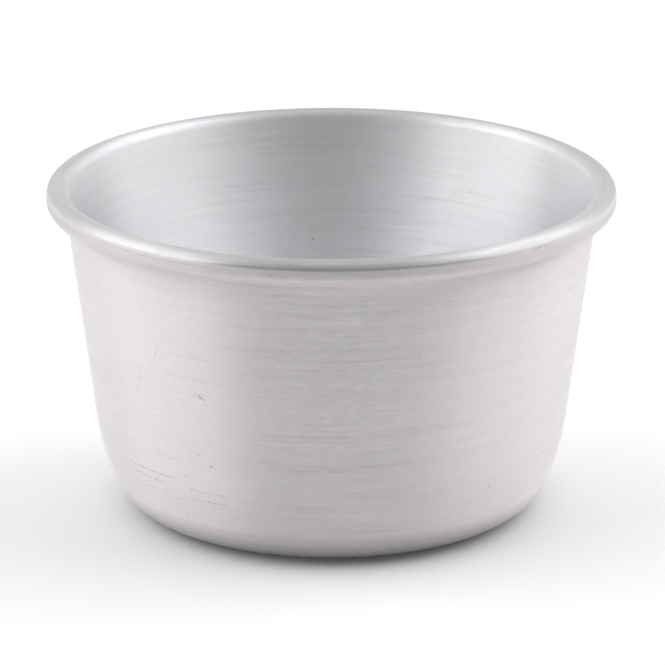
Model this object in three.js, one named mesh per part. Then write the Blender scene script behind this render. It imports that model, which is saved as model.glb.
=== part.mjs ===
// Pudding basin: a bowl drawn from one disc of aluminium sheet, whose edge is rolled outward over a wire.
// Millimetres, +Z up. The origin is the centre of the flat base's underside.
import * as THREE from "three";

// Driving dimensions, measured over the outside of the metal
const RIM_DIAMETER = 100; // over the rolled bead
const HEIGHT = 58.7; // from the base's underside to the top of the bead
const SHEET = 0.9; // gauge of the aluminium
const WALL_TAPER = 7.4; // degrees from vertical, on the straight wall
const HAUNCH_RADIUS = 46; // easy bend at the foot of the wall
const HAUNCH_TAPER = 21.5; // degrees from vertical, where the haunch runs into the corner
const CORNER_RADIUS = 9.2; // tighter bend from the haunch into the base
const BEAD_WIDTH = 3.9; // across the bead, from the inner wall to the rim's outside
const BEAD_STRAIGHT = 0.7; // upright part of the bead, between its round top and its round underside
const EDGE_GAP = 0.35; // between the sheet's cut edge and the wall behind it
const WIRE_CLEARANCE = 0.15; // between the wire and the sheet rolled over it
const WIRE_BUTT_GAP = 1; // between the two ends of the wire

// Facets
const RING_STEPS = 64; // round the basin
const CORNER_STEPS = 6;
const HAUNCH_STEPS = 4;
const CURL_STEPS = 5; // up to the bead's top, and as many down to its outside
const TUCK_STEPS = 6; // under the bead, to the cut edge
const WIRE_SIDES = 10;

const taper = THREE.MathUtils.degToRad(WALL_TAPER);
const haunchTaper = THREE.MathUtils.degToRad(HAUNCH_TAPER);
const quarterTurn = Math.PI / 2;

// The bead's round top and its round underside share one radius
const beadRadius = BEAD_WIDTH / 2;
const boreRadius = beadRadius - SHEET; // the inside of the roll
const beadCentre = new THREE.Vector2(RIM_DIAMETER / 2 - beadRadius, HEIGHT - beadRadius);
const tuckCentre = new THREE.Vector2(beadCentre.x, beadCentre.y - BEAD_STRAIGHT);

// The wall's outside face ends where the roll begins, square to the wall from the bead's centre
const wallEnd = new THREE.Vector2(
  beadCentre.x - boreRadius * Math.cos(taper),
  beadCentre.y + boreRadius * Math.sin(taper),
);

// The straight wall takes the height that the two bends leave, and the base takes the radius that is left
const cornerRise = CORNER_RADIUS * (1 - Math.sin(haunchTaper));
const haunchRise = HAUNCH_RADIUS * (Math.sin(haunchTaper) - Math.sin(taper));
const wallLength = (wallEnd.y - cornerRise - haunchRise) / Math.cos(taper);
const cornerReach = CORNER_RADIUS * Math.cos(haunchTaper);
const haunchReach = HAUNCH_RADIUS * (Math.cos(taper) - Math.cos(haunchTaper));
const baseRadius = wallEnd.x - wallLength * Math.sin(taper) - haunchReach - cornerReach;

// The roll stops where its cut edge, on the outer face, comes within EDGE_GAP of the wall
const wallBehindEdge = wallEnd.x - (wallEnd.y - tuckCentre.y + beadRadius) * Math.tan(taper);
const tuckTurn = Math.asin((tuckCentre.x - wallBehindEdge - EDGE_GAP) / beadRadius);

// The section of the sheet, followed along its outside face from the base's centre to the cut edge.
// heading is measured from the horizontal, and the sheet's inside face lies SHEET to the left.
function sheetSection() {
  const outside = [];
  const inside = [];
  const at = new THREE.Vector2(0, 0);
  let heading = 0;

  const leftOf = (angle) => new THREE.Vector2(-Math.sin(angle), Math.cos(angle));
  const mark = () => {
    outside.push(at.clone());
    inside.push(at.clone().addScaledVector(leftOf(heading), SHEET));
  };
  const straight = (length) => {
    at.add(new THREE.Vector2(Math.cos(heading), Math.sin(heading)).multiplyScalar(length));
    mark();
  };
  // A positive turn goes left, with the outside face on the outer radius. The roll goes right.
  const bend = (radius, turn, steps) => {
    const towards = Math.sign(turn) * radius;
    const centre = at.clone().addScaledVector(leftOf(heading), towards);
    for (let step = 0; step < steps; step++) {
      heading += turn / steps;
      at.copy(centre).addScaledVector(leftOf(heading), -towards);
      mark();
    }
  };

  mark();
  straight(baseRadius);
  bend(CORNER_RADIUS, quarterTurn - haunchTaper, CORNER_STEPS);
  bend(HAUNCH_RADIUS, haunchTaper - taper, HAUNCH_STEPS);
  straight(wallLength);
  bend(boreRadius, taper - quarterTurn, CURL_STEPS);
  bend(boreRadius, -quarterTurn, CURL_STEPS);
  straight(BEAD_STRAIGHT);
  bend(boreRadius, -quarterTurn - tuckTurn, TUCK_STEPS);
  inside[0].x = 0;
  return [...outside, ...inside.reverse()];
}

// The basin itself: base, wall and rolled rim in one piece of sheet, turned about the upright axis.
function basinShell() {
  const geometry = new THREE.LatheGeometry(sheetSection(), RING_STEPS);
  geometry.rotateX(quarterTurn);
  const material = new THREE.MeshStandardMaterial({ color: 0xd2d1cf, metalness: 1, roughness: 0.38 });
  const mesh = new THREE.Mesh(geometry, material);
  mesh.name = "basin_shell";
  return mesh;
}

// A level arc that stops short of a full turn, for the wire's centre line.
class OpenRing extends THREE.Curve {
  constructor(radius, height, gap) {
    super();
    this.radius = radius;
    this.height = height;
    this.halfGap = gap / radius / 2;
  }

  getPoint(share) {
    const angle = THREE.MathUtils.lerp(this.halfGap, 2 * Math.PI - this.halfGap, share);
    return new THREE.Vector3(this.radius * Math.cos(angle), this.radius * Math.sin(angle), this.height);
  }
}

// The wire that stiffens the rim: a round steel wire bent to a ring, its ends butted, lying in the roll.
function rimWire() {
  const wireRadius = boreRadius - WIRE_CLEARANCE;
  const section = new THREE.Shape().absarc(0, 0, wireRadius, 0, 2 * Math.PI);
  const geometry = new THREE.ExtrudeGeometry(section, {
    curveSegments: WIRE_SIDES / 2,
    steps: RING_STEPS,
    extrudePath: new OpenRing(tuckCentre.x, tuckCentre.y, WIRE_BUTT_GAP),
  });
  const material = new THREE.MeshStandardMaterial({ color: 0x9a9b9c, metalness: 1, roughness: 0.45 });
  const mesh = new THREE.Mesh(geometry, material);
  mesh.name = "rim_wire";
  return mesh;
}

const puddingBasin = new THREE.Group();
puddingBasin.add(basinShell(), rimWire());

export default puddingBasin;
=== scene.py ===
import math

import bpy
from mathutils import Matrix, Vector
from mathutils.kdtree import KDTree


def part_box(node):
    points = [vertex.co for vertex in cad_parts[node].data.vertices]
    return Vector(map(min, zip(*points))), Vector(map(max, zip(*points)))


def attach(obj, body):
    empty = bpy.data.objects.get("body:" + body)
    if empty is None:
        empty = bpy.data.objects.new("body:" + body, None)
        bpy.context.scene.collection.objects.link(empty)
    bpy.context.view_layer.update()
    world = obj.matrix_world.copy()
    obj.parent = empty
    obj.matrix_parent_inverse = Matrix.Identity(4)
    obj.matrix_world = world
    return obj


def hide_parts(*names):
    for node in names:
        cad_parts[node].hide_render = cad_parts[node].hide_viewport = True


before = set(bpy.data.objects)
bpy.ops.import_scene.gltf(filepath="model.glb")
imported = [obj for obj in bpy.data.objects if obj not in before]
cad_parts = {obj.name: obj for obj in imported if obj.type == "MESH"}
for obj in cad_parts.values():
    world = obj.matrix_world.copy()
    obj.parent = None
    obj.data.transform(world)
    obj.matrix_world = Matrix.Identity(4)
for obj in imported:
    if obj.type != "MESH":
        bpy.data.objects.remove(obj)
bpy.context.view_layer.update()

bpy.ops.object.select_all(action="DESELECT")

# The basin
# One disc of aluminium sheet, drawn over a punch into a tapered bowl with a flat base. Its edge is rolled
# outward over a wire. It is brushed as it turns on a lathe, so the marks of the finish run round the axis.
_, shell_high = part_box("basin_shell")
rim_radius = shell_high.x
basin_height = shell_high.z
sheet_gauge = 0.0009
wall_taper = math.radians(7.4)
haunch_radius = 0.046
haunch_taper = math.radians(21.5)
corner_radius = 0.0092
bead_radius = 0.00195
bead_straight = 0.0007
edge_gap = 0.00035
quarter_turn = math.pi / 2
full_turn = 2 * math.pi

bore_radius = bead_radius - sheet_gauge
bead_centre = (rim_radius - bead_radius, basin_height - bead_radius)
tuck_centre = (bead_centre[0], bead_centre[1] - bead_straight)
wall_end = (
    bead_centre[0] - bore_radius * math.cos(wall_taper),
    bead_centre[1] + bore_radius * math.sin(wall_taper),
)
corner_rise = corner_radius * (1 - math.sin(haunch_taper))
haunch_rise = haunch_radius * (math.sin(haunch_taper) - math.sin(wall_taper))
wall_length = (wall_end[1] - corner_rise - haunch_rise) / math.cos(wall_taper)
corner_reach = corner_radius * math.cos(haunch_taper)
haunch_reach = haunch_radius * (math.cos(wall_taper) - math.cos(haunch_taper))
base_radius = wall_end[0] - wall_length * math.sin(wall_taper) - haunch_reach - corner_reach
wall_behind_edge = wall_end[0] - (wall_end[1] - tuck_centre[1] + bead_radius) * math.tan(wall_taper)
tuck_turn = math.asin((tuck_centre[0] - wall_behind_edge - edge_gap) / bead_radius)

# The outside face of the sheet, as (radius, height) points. They run from near the centre of the base to the
# cut edge under the bead, and each stretch has its own number of steps.
base_rings = 6
corner_steps = 14
haunch_steps = 8
wall_steps = 20
roll_steps = 12
straight_steps = 2
tuck_steps = 14
section = [(base_radius * ring / base_rings, 0.0) for ring in range(1, base_rings + 1)]
heading = 0.0


def go_straight(length, steps):
    radius, height = section[-1]
    for step in range(1, steps + 1):
        along = length * step / steps
        section.append((radius + along * math.cos(heading), height + along * math.sin(heading)))


def go_round(bend_radius, turn, steps):
    global heading
    side = math.copysign(bend_radius, turn)
    centre_radius = section[-1][0] - side * math.sin(heading)
    centre_height = section[-1][1] + side * math.cos(heading)
    for step in range(steps):
        heading += turn / steps
        section.append((centre_radius + side * math.sin(heading), centre_height - side * math.cos(heading)))


go_round(corner_radius, quarter_turn - haunch_taper, corner_steps)
go_round(haunch_radius, haunch_taper - wall_taper, haunch_steps)
go_straight(wall_length, wall_steps)
roll_start = len(section)
go_round(bore_radius, wall_taper - quarter_turn, roll_steps)
go_round(bore_radius, -quarter_turn, roll_steps)
go_straight(bead_straight, straight_steps)
go_round(bore_radius, -quarter_turn - tuck_turn, tuck_steps)

# The disc grows outward ring by ring from its centre, each ring lifted and widened to the next point
ring_points = 256
bpy.ops.mesh.primitive_circle_add(vertices=ring_points, radius=section[0][0], fill_type="TRIFAN")
basin = bpy.context.object
basin.name = "basin"
basin.data.name = "basin"
bpy.ops.object.mode_set(mode="EDIT")
bpy.ops.mesh.select_mode(type="EDGE")
bpy.ops.mesh.select_all(action="SELECT")
bpy.ops.mesh.region_to_loop()
for (radius, height), (next_radius, next_height) in zip(section, section[1:]):
    bpy.ops.mesh.extrude_edges_move(TRANSFORM_OT_translate={"value": (0, 0, next_height - height)})
    widening = next_radius / radius
    bpy.ops.transform.resize(value=(widening, widening, 1), center_override=(0, 0, next_height))
bpy.ops.mesh.select_all(action="SELECT")
bpy.ops.mesh.normals_make_consistent(inside=False)
bpy.ops.object.mode_set(mode="OBJECT")

# The base looks down, so that the sheet's thickness goes to the inside
if basin.data.polygons[0].normal.z > 0:
    bpy.ops.object.mode_set(mode="EDIT")
    bpy.ops.mesh.select_all(action="SELECT")
    bpy.ops.mesh.flip_normals()
    bpy.ops.object.mode_set(mode="OBJECT")

# The brushing has its own map: U runs along the section of the sheet, and V round the axis
rings = KDTree(len(section) + 1)
rings.insert((0, 0, 0), 0)
runs = [0.0]
for ring, (radius, height) in enumerate(section, 1):
    rings.insert((radius, height, 0), ring)
    radius_before, height_before = section[ring - 2] if ring > 1 else (0.0, 0.0)
    runs.append(runs[-1] + math.hypot(radius - radius_before, height - height_before))
rings.balance()
section_length = runs[-1]
brushing = basin.data.uv_layers.new(name="brushing")
for face in basin.data.polygons:
    face_turn = math.atan2(face.center.y, face.center.x)
    for loop in face.loop_indices:
        corner = basin.data.vertices[basin.data.loops[loop].vertex_index].co
        radius = math.hypot(corner.x, corner.y)
        ring = rings.find((radius, corner.z, 0))[1]
        turn = face_turn
        if ring:
            turn += math.remainder(math.atan2(corner.y, corner.x) - face_turn, full_turn)
        brushing.data[loop].uv = (runs[ring] / section_length, turn / full_turn)


# A place on the sheet's outside face, given in degrees round from the front and the height in mm
def on_wall(turn, height, depth=0.0):
    height /= 1000
    for (radius, low), (next_radius, high) in zip(section, section[1:]):
        if low <= height <= high and high > low:
            radius += (next_radius - radius) * (height - low) / (high - low)
            break
    radius -= depth
    turn = math.radians(turn)
    return Vector((radius * math.sin(turn), -radius * math.cos(turn), height))


# The place behind it, on the inside face
def in_wall(turn, height):
    return on_wall(turn, height, sheet_gauge)


# A place on the outer face of the bead, given in mm above the middle of its upright part
def on_bead(turn, lift):
    turn = math.radians(turn)
    height = tuck_centre[1] + bead_straight / 2 + lift / 1000
    return Vector((rim_radius * math.sin(turn), -rim_radius * math.cos(turn), height))


def new_finish(name):
    finish = bpy.data.materials.new(name)
    finish.use_nodes = True
    return finish


# A value is set on the socket itself, and what another node gives is linked to it
def fill_sockets(finish, node, sockets):
    for socket, value in sockets.items():
        if isinstance(value, bpy.types.NodeSocket):
            finish.node_tree.links.new(value, node.inputs[socket])
        else:
            node.inputs[socket].default_value = value


def set_shader(finish, sockets):
    fill_sockets(finish, finish.node_tree.nodes["Principled BSDF"], sockets)


def add_node(finish, kind, sockets, **settings):
    node = finish.node_tree.nodes.new("ShaderNode" + kind)
    for setting, value in settings.items():
        setattr(node, setting, value)
    fill_sockets(finish, node, sockets)
    return node


def work_out(finish, operation, first, second):
    return add_node(finish, "Math", {0: first, 1: second}, operation=operation).outputs["Value"]


def work_out_place(finish, operation, *places):
    result = "Value" if operation in ("DOT_PRODUCT", "DISTANCE") else "Vector"
    return add_node(finish, "VectorMath", dict(enumerate(places)), operation=operation).outputs[result]


# A place or a colour, multiplied by a number
def scale_by(finish, place, factor):
    return add_node(finish, "VectorMath", {0: place, "Scale": factor}, operation="SCALE").outputs["Vector"]


def add_shares(finish, first, first_share, second, second_share):
    first = work_out(finish, "MULTIPLY", first, first_share)
    second = work_out(finish, "MULTIPLY", second, second_share)
    return work_out(finish, "ADD", first, second)


# Takes a value between two ends to a result between two others, and holds it there beyond them
def fit_range(finish, value, ends, results=(0.0, 1.0), easing="LINEAR"):
    sockets = {
        "Value": value,
        "From Min": ends[0],
        "From Max": ends[1],
        "To Min": results[0],
        "To Max": results[1],
    }
    return add_node(finish, "MapRange", sockets, interpolation_type=easing).outputs["Result"]


def object_place(finish):
    return add_node(finish, "TexCoord", {}).outputs["Object"]


# How far along the section of the sheet a place lies, from the centre of the base at 0 to the cut edge at 1
def along_section(finish):
    map_place = add_node(finish, "UVMap", {}, uv_map="brushing").outputs["UV"]
    return add_node(finish, "SeparateXYZ", {0: map_place}).outputs["X"]


# Noise drawn out round the axis into lines, given their spacing and how far round they last, in radians
def turned_lines(finish, spacing, reach):
    level = work_out_place(finish, "MULTIPLY", object_place(finish), (1, 1, 0))
    around = scale_by(finish, work_out_place(finish, "NORMALIZE", level), 1 / reach)
    along = work_out(finish, "MULTIPLY", along_section(finish), section_length / spacing)
    lift = add_node(finish, "CombineXYZ", {"Z": along}).outputs["Vector"]
    spot = work_out_place(finish, "ADD", around, lift)
    noise = {"Vector": spot, "Scale": 1.0, "Detail": 2.0, "Roughness": 0.6}
    return add_node(finish, "TexNoise", noise).outputs["Fac"]


# Scratches and knocks: the degrees and mm of both ends, then a width in mm and a strength. A long one follows
# the surface in short pieces, and they all wander and break up a little.
def add_marks(finish, spot, marks):
    piece_degrees = 4
    ragged_scale = 1600.0
    wander_reach = 0.0007
    noise_middle = 0.5
    broken_ends = (0.35, 0.6)
    broken_least = 0.35
    place = object_place(finish)
    ragged = add_node(finish, "TexNoise", {"Vector": place, "Scale": ragged_scale, "Detail": 2.0})
    wander = work_out_place(finish, "SUBTRACT", ragged.outputs["Color"], (noise_middle,) * 3)
    place = work_out_place(finish, "MULTIPLY_ADD", wander, (wander_reach,) * 3, place)
    darkness = 0.0
    for turn, level, last_turn, last_level, width, strength in marks:
        pieces = math.ceil(abs(last_turn - turn) / piece_degrees)
        ends = [
            spot(turn + (last_turn - turn) * piece / pieces, level + (last_level - level) * piece / pieces)
            for piece in range(pieces + 1)
        ]
        for start, end in zip(ends, ends[1:]):
            stroke = end - start
            offset = work_out_place(finish, "SUBTRACT", place, start)
            share = work_out_place(finish, "DOT_PRODUCT", offset, stroke / stroke.length_squared)
            share = add_node(finish, "Clamp", {"Value": share}).outputs["Result"]
            gap = work_out_place(finish, "DISTANCE", offset, scale_by(finish, stroke, share))
            dark = fit_range(finish, gap, (0.0, width / 1000), (strength, 0.0), "SMOOTHSTEP")
            darkness = work_out(finish, "MAXIMUM", dark, darkness)
    broken = fit_range(finish, ragged.outputs["Fac"], broken_ends, (broken_least, 1.0))
    return work_out(finish, "MULTIPLY", darkness, broken)


# Brushed metal: the colour and the roughness are values, or sockets where they vary over the sheet. The
# streak is how far the brushing draws a highlight out, and the depth is how strongly its lines show.
def brush_metal(finish, colour, roughness, streak, depth, marks):
    line_spacing, short_reach, long_reach = 0.00042, 0.035, 0.6
    band_spacing, band_reach = 0.0014, 0.5
    cloud_scale = 80.0
    short_share, long_share = 0.5, 0.5
    band_share, cloud_share = 0.6, 0.4
    short = turned_lines(finish, line_spacing, short_reach)
    long = turned_lines(finish, line_spacing, long_reach)
    bands = turned_lines(finish, band_spacing, band_reach)
    place = object_place(finish)
    cloud = add_node(finish, "TexNoise", {"Vector": place, "Scale": cloud_scale, "Detail": 3.0})
    lines = add_shares(finish, short, short_share, long, long_share)
    soft = add_shares(finish, bands, band_share, cloud.outputs["Fac"], cloud_share)

    # Of the lines, the ones that are cut deepest are the rougher and the darker
    line_grain, soft_grain, grain_lift = -0.34, 0.15, 0.075
    grain = add_shares(finish, lines, line_grain, soft, soft_grain)
    grain = work_out(finish, "MULTIPLY", work_out(finish, "ADD", grain, grain_lift), depth)
    grain = work_out(finish, "ADD", grain, roughness)
    line_shade, soft_shade, middle_shade = 0.12, 0.10, 0.11
    shade = add_shares(finish, lines, line_shade, soft, soft_shade)
    shade = work_out(finish, "MULTIPLY", work_out(finish, "SUBTRACT", shade, middle_shade), depth)

    # A few lines are scored, and the sheet has small pits
    score_ends, score_darkness = (0.40, 0.28), 0.03
    pit_scale, pit_ends, pit_darkness = 220.0, (0.03, 0.06), 0.10
    score = fit_range(finish, long, score_ends, (0.0, score_darkness))
    pit = add_node(finish, "TexVoronoi", {"Vector": place, "Scale": pit_scale}).outputs["Distance"]
    pit = fit_range(finish, pit, pit_ends, (pit_darkness, 0.0))
    dark = work_out(finish, "ADD", work_out(finish, "MAXIMUM", pit, marks), score)
    shade = work_out(finish, "SUBTRACT", work_out(finish, "ADD", shade, 1.0), dark)

    tangent = add_node(finish, "Tangent", {}, direction_type="UV_MAP", uv_map="brushing")
    set_shader(finish, {
        "Base Color": scale_by(finish, colour, shade),
        "Metallic": 1,
        "Roughness": grain,
        "Anisotropic": streak,
        "Tangent": tangent.outputs["Tangent"],
    })


# The outside is a little warm in tone. Its colour is darker towards the foot, as painted shade for the
# shadowed table that the foot reflects.
wall_streak = 0.9
outside_tone = (0.795, 0.771, 0.766)
foot_heights = (0.0005, 0.0065)
foot_darkest = 0.45
outside_finish = new_finish("outside_brushed")
outside_height = add_node(outside_finish, "SeparateXYZ", {0: object_place(outside_finish)}).outputs["Z"]
# Painted shade: the outside colour darkens towards the bottom of the foot
foot_painted_shade = fit_range(outside_finish, outside_height, foot_heights, (foot_darkest, 1.0))
outside_colour = scale_by(outside_finish, outside_tone, foot_painted_shade)
outside_marks = add_marks(outside_finish, on_wall, [
    (-47.3, 34.3, -49.7, 29.4, 0.20, 0.20),
    (-41.2, 38.7, -42.7, 36.9, 0.20, 0.20),
    (-43.0, 36.6, -44.6, 34.8, 0.20, 0.16),
    (-45.3, 34.0, -45.5, 33.7, 0.30, 0.22),
    (-32.5, 31.1, -31.4, 31.6, 0.22, 0.30),
    (-31.4, 31.6, -29.7, 30.6, 0.30, 0.45),
    (-35.4, 26.3, -34.4, 26.3, 0.30, 0.15),
    (-32.4, 20.1, -32.2, 20.1, 0.25, 0.25),
    (-29.5, 18.3, -28.9, 18.3, 0.30, 0.40),
    (-57.2, 14.8, -56.8, 14.7, 0.30, 0.30),
    (-58.1, 13.4, -57.6, 13.3, 0.28, 0.35),
    (-55.6, 14.3, -40.0, 14.4, 0.28, 0.25),
    (-56.5, 12.9, -44.4, 12.9, 0.28, 0.19),
    (-57.1, 10.7, -42.5, 11.5, 0.26, 0.13),
    (-46.0, 17.9, -37.7, 18.2, 0.24, 0.10),
    (-42.9, 10.4, -37.0, 10.7, 0.26, 0.12),
    (-36.3, 13.0, -28.9, 13.0, 0.28, 0.16),
    (-28.9, 13.0, -26.4, 13.0, 0.28, 0.24),
    (-37.0, 11.2, -31.2, 11.2, 0.28, 0.14),
    (-31.2, 11.2, -28.9, 11.2, 0.30, 0.30),
    (-28.9, 11.2, -25.8, 11.4, 0.28, 0.14),
    (-36.8, 15.7, -36.6, 15.4, 0.35, 0.18),
    (-35.6, 12.3, -39.6, 5.5, 0.30, 0.06),
    (41.2, 12.8, 41.4, 12.7, 0.38, 0.45),
    (36.5, 11.4, 36.7, 11.4, 0.25, 0.18),
    (67.1, 19.7, 67.3, 19.3, 0.35, 0.18),
])
brush_metal(
    outside_finish, outside_colour, roughness=0.55, streak=wall_streak, depth=0.88, marks=outside_marks
)

# The inside is paler and cooler than the outside, and its brushing is cut deeper
inside_tone = Vector((0.94, 0.93, 0.948))
inside_finish = new_finish("inside_brushed")
inside_marks = add_marks(inside_finish, in_wall, [
    (-175.6, 34.9, -175.2, 34.9, 0.30, 0.45),
    (-172.4, 38.3, -172.0, 38.3, 0.40, 0.10),
    (-118.9, 50.1, -118.6, 50.1, 0.25, 0.35),
    (-118.5, 49.1, -125.9, 49.7, 0.16, 0.10),
    (-116.3, 47.5, -116.0, 47.5, 0.25, 0.20),
    (144.8, 46.3, 145.9, 45.7, 0.22, 0.22),
    (144.9, 45.6, 145.6, 46.2, 0.20, 0.18),
    (137.1, 53.1, 137.3, 52.7, 0.25, 0.22),
    (133.4, 51.7, 133.6, 51.3, 0.22, 0.18),
    (138.1, 49.7, 138.4, 49.7, 0.22, 0.14),
])
brush_metal(inside_finish, inside_tone, roughness=0.53, streak=wall_streak, depth=1.3, marks=inside_marks)


# A ramp through (place, colour) stops, the first at 0 and the last at 1
def add_ramp(finish, share, stops):
    ramp = add_node(finish, "ValToRGB", {"Fac": share})
    for place, colour in stops[1:-1]:
        ramp.color_ramp.elements.new(place).color = (*colour, 1)
    ramp.color_ramp.elements[0].color = (*stops[0][1], 1)
    ramp.color_ramp.elements[-1].color = (*stops[-1][1], 1)
    return ramp.outputs["Color"]


# The same through (place, level) stops, in grey
def add_grey_ramp(finish, share, stops):
    return add_ramp(finish, share, [(place, (level, level, level)) for place, level in stops])


# The roll carries on from the inside face. The rolling tool has rubbed out some of its brushing. Its colour
# falls from the inside tone to a darker grey round the roll, darkest at the shoulder, and this darkening is
# painted shade for the dim reflections on the roll. The share is how far round the roll a place lies, from
# the wall to the cut edge.
bead_finish = new_finish("bead_rolled")
bead_share = fit_range(bead_finish, along_section(bead_finish), (runs[roll_start] / section_length, 1.0))
# Painted shade: the roll's colour darkens from the inside tone, most of all at the shoulder
bead_tone_and_painted_shade = add_ramp(bead_finish, bead_share, [
    (0.00, inside_tone),
    (0.04, (0.885, 0.875, 0.895)),
    (0.10, (0.76, 0.75, 0.77)),
    (0.16, (0.69, 0.68, 0.70)),
    (0.22, (0.665, 0.655, 0.675)),
    (0.28, (0.66, 0.65, 0.67)),
    (0.34, (0.61, 0.60, 0.615)),
    (0.40, (0.595, 0.585, 0.595)),
    (0.45, (0.645, 0.63, 0.635)),
    (0.50, (0.67, 0.645, 0.645)),
    (1.00, (0.67, 0.645, 0.64)),
])
bead_roughness = add_grey_ramp(bead_finish, bead_share, [
    (0.00, 0.58),
    (0.10, 0.56),
    (0.22, 0.48),
    (0.28, 0.47),
    (0.34, 0.51),
    (0.40, 0.53),
    (0.43, 0.49),
    (0.455, 0.37),
    (0.48, 0.41),
    (0.52, 0.62),
    (0.63, 0.60),
    (0.69, 0.52),
    (0.80, 0.48),
    (1.00, 0.48),
])
bead_marks = add_marks(bead_finish, on_bead, [
    (-44.0, 0.4, -43.2, 0.4, 0.22, 0.22),
    (-40.2, 0.2, -38.6, 0.1, 0.20, 0.24),
    (-36.2, 0.0, -35.6, 0.0, 0.22, 0.24),
    (-33.0, 0.1, -24.6, 0.3, 0.14, 0.14),
    (-13.5, 0.1, -13.1, 0.1, 0.20, 0.20),
    (-9.5, 0.0, -8.9, 0.0, 0.20, 0.20),
    (42.6, 0.7, 48.4, 0.7, 0.16, 0.36),
    (49.5, 0.6, 57.3, 0.1, 0.12, 0.12),
])
brush_metal(bead_finish, bead_tone_and_painted_shade, bead_roughness, streak=0.75, depth=1.0, marks=bead_marks)

# The sheet's second face takes the next finish in the list, so the roll's hidden side has the inside finish
for face in basin.data.polygons:
    if math.hypot(face.center.x, face.center.y) > wall_end[0]:
        face.material_index = 1
basin.data.materials.append(outside_finish)
basin.data.materials.append(inside_finish)
basin.data.materials.append(bead_finish)
sheet = basin.modifiers.new("sheet", "SOLIDIFY")
sheet.thickness = sheet_gauge
sheet.offset = -1
sheet.material_offset = 1
sheet.material_offset_rim = 1
bpy.ops.object.modifier_apply(modifier="sheet")
smooth_angle = math.radians(35)
bpy.ops.object.shade_smooth_by_angle(angle=smooth_angle)
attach(basin, "root")
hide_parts("basin_shell")

# The rim wire
# A round steel wire bent to a ring, with its ends butted. It stiffens the rim, and the roll of the sheet
# is closed over it, so it shows only through the gap under the bead.
wire_low, wire_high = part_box("rim_wire")
wire_radius = (wire_high.z - wire_low.z) / 2
wire_height = (wire_high.z + wire_low.z) / 2
wire_ring = tuck_centre[0]
wire_sides = 16
wire_steps = 180
butt_gap = 0.001
butt_turn = butt_gap / wire_ring
bpy.ops.object.select_all(action="DESELECT")
bpy.ops.mesh.primitive_circle_add(
    vertices=wire_sides, radius=wire_radius, fill_type="NGON",
    location=(wire_ring, 0, wire_height), rotation=(quarter_turn, 0, 0),
)
wire = bpy.context.object
wire.name = "rim_wire_ring"
wire.data.name = "rim_wire_ring"
bpy.ops.object.transform_apply(location=True, rotation=True, scale=True)
bpy.ops.object.mode_set(mode="EDIT")
bpy.ops.mesh.select_all(action="SELECT")
bpy.ops.mesh.spin(steps=wire_steps, angle=full_turn - butt_turn, center=(0, 0, 0), axis=(0, 0, 1))
bpy.ops.mesh.select_all(action="SELECT")
bpy.ops.mesh.normals_make_consistent(inside=False)
bpy.ops.object.mode_set(mode="OBJECT")
bpy.ops.object.shade_smooth_by_angle(angle=smooth_angle)

# Bare drawn steel, with fine spots where it has dulled
steel_tone = (0.98, 0.98, 1.0)
steel_shades = (0.4, 0.75)
steel_grains = (0.3, 0.55)
spot_scale = 900.0
drawn_steel = new_finish("drawn_steel")
steel_noise = {"Vector": object_place(drawn_steel), "Scale": spot_scale, "Detail": 4.0}
steel_spots = add_node(drawn_steel, "TexNoise", steel_noise).outputs["Fac"]
steel_shade = fit_range(drawn_steel, steel_spots, (0.0, 1.0), steel_shades)
set_shader(drawn_steel, {
    "Base Color": scale_by(drawn_steel, steel_tone, steel_shade),
    "Metallic": 1,
    "Roughness": fit_range(drawn_steel, steel_spots, (0.0, 1.0), steel_grains),
})
wire.data.materials.append(drawn_steel)
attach(wire, "root")
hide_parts("rim_wire")

# The table
# A plain white sweep that the basin stands on. It glows a little where the camera or the metal sees it, so
# that it is white there and still keeps the basin's shadow.
table_radius = 5
table_sides = 96
table_white = (0.95, 0.95, 0.95, 1)
table_roughness = 0.9
table_glow = 0.04
bpy.ops.object.select_all(action="DESELECT")
bpy.ops.mesh.primitive_circle_add(vertices=table_sides, radius=table_radius, fill_type="NGON")
table = bpy.context.object
table.name = "table"
white_card = new_finish("white_card")
path = add_node(white_card, "LightPath", {})
seen = work_out(white_card, "MAXIMUM", path.outputs["Is Camera Ray"], path.outputs["Is Glossy Ray"])
seen = work_out(white_card, "MAXIMUM", seen, path.outputs["Is Transmission Ray"])
set_shader(white_card, {
    "Base Color": table_white,
    "Roughness": table_roughness,
    "Specular IOR Level": 0.0,
    "Emission Color": (1, 1, 1, 1),
    "Emission Strength": work_out(white_card, "MULTIPLY", seen, table_glow),
})
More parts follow.
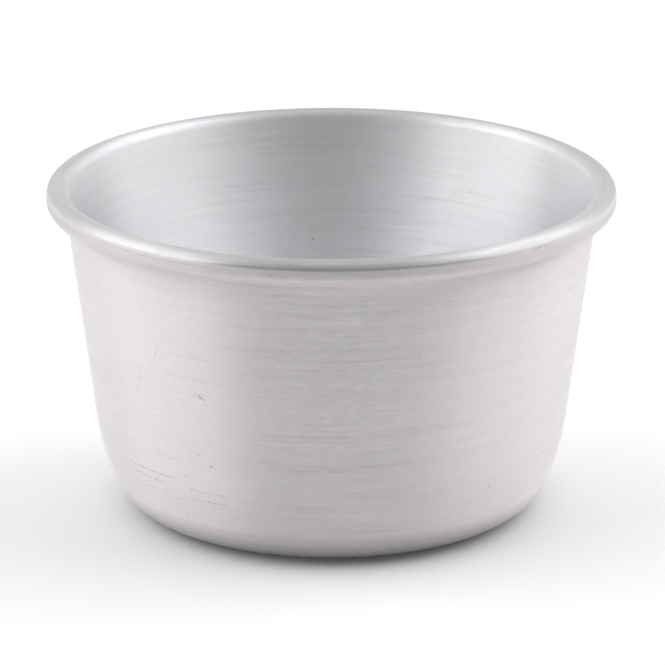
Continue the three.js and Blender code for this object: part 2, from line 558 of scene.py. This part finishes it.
table.data.materials.append(white_card)

# The light
# Two soft boxes stand at the left and the right of the table. The room is palest overhead and behind it,
# and dim above the camera.
box_distance = 0.8
box_width = 0.9
box_height = 0.6


# The turn is in degrees round from the front and the rise in degrees from level, with the power in watts
def add_soft_box(name, turn, rise, power):
    turn, rise = math.radians(turn), math.radians(rise)
    away = Vector((math.cos(rise) * math.sin(turn), -math.cos(rise) * math.cos(turn), math.sin(rise)))
    bpy.ops.object.light_add(
        type="AREA", location=Vector((0, 0, basin_height / 2)) + box_distance * away,
        rotation=away.to_track_quat("Z", "Y").to_euler(),
    )
    box = bpy.context.object
    box.name = name
    box.data.shape = "RECTANGLE"
    box.data.size = box_width
    box.data.size_y = box_height
    box.data.energy = power


add_soft_box("left_soft_box", turn=-80, rise=32, power=2.51)
add_soft_box("right_soft_box", turn=95, rise=42, power=2.43)
studio = bpy.data.worlds.new("studio")
bpy.context.scene.world = studio
studio.use_nodes = True
room_place = add_node(studio, "TexCoord", {}).outputs["Generated"]
up_and_back = (0, math.sqrt(0.5), math.sqrt(0.5))
lean = work_out_place(studio, "DOT_PRODUCT", room_place, up_and_back)
room_light = add_grey_ramp(studio, fit_range(studio, lean, (-1.0, 1.0)), [
    (0.0, 0.15),
    (0.2, 0.15),
    (0.35, 0.04),
    (0.5, 0.08),
    (0.65, 0.72),
    (0.8, 1.4),
    (1.0, 0.62),
])
fill_sockets(studio, studio.node_tree.nodes["Background"], {"Color": room_light})

# The camera
# It looks a little down on the basin, from far enough away that the rim's ellipse hardly spreads.
aim_height = 0.03052
camera_height = 0.2798
camera_back = 0.7712
camera_aside = 0.00018
camera_lens = 247.5
camera_sensor = 36
drop = math.atan2(camera_height - aim_height, camera_back)
bpy.ops.object.camera_add(
    location=(camera_aside, -camera_back, camera_height), rotation=(quarter_turn - drop, 0, 0)
)
camera = bpy.context.object
camera.data.lens = camera_lens
camera.data.sensor_width = camera_sensor
bpy.context.scene.camera = camera
bpy.context.scene.view_settings.view_transform = "Standard"
